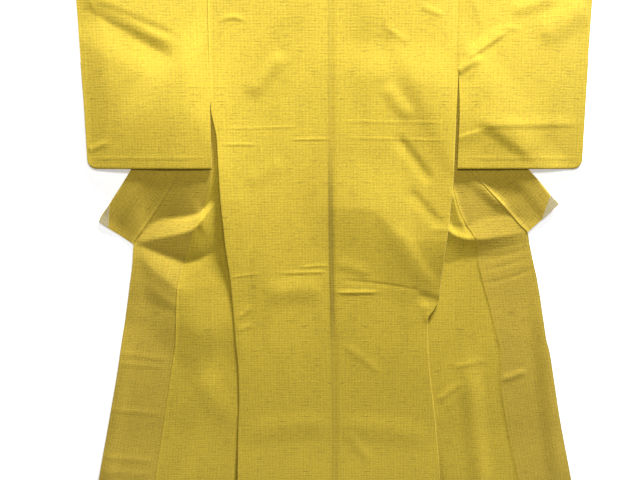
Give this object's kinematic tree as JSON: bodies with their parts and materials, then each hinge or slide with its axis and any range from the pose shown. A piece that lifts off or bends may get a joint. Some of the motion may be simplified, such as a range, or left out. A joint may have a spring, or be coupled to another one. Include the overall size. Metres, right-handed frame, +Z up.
{
  "type": "kimono",
  "caption": "Kimono laid out flat, back side up, with flat square-cut sleeves and both fronts turned out beside the back.",
  "frame": {"origin": "on the floor under the middle of the laid-out garment's bounding box", "axes": "+Y from hem to neck, +Z up out of the outer face of the back, +X to the wearer's right-hand side as seen from above"},
  "size_m": [1.3762, 1.6528, 0.0152],
  "materials": {
    "cloth": "slubbed mustard woven silk, soft low sheen",
    "lining": "plain grey-beige silk"
  },
  "bodies": {
    "root": {"body_left": "cloth", "body_right": "cloth", "okumi_left": "cloth", "okumi_right": "cloth", "collar": "cloth", "sleeve_left": "cloth", "sleeve_right": "cloth", "collar_lining_left": "lining", "collar_lining_right": "lining"}
  },
  "joints": []
}
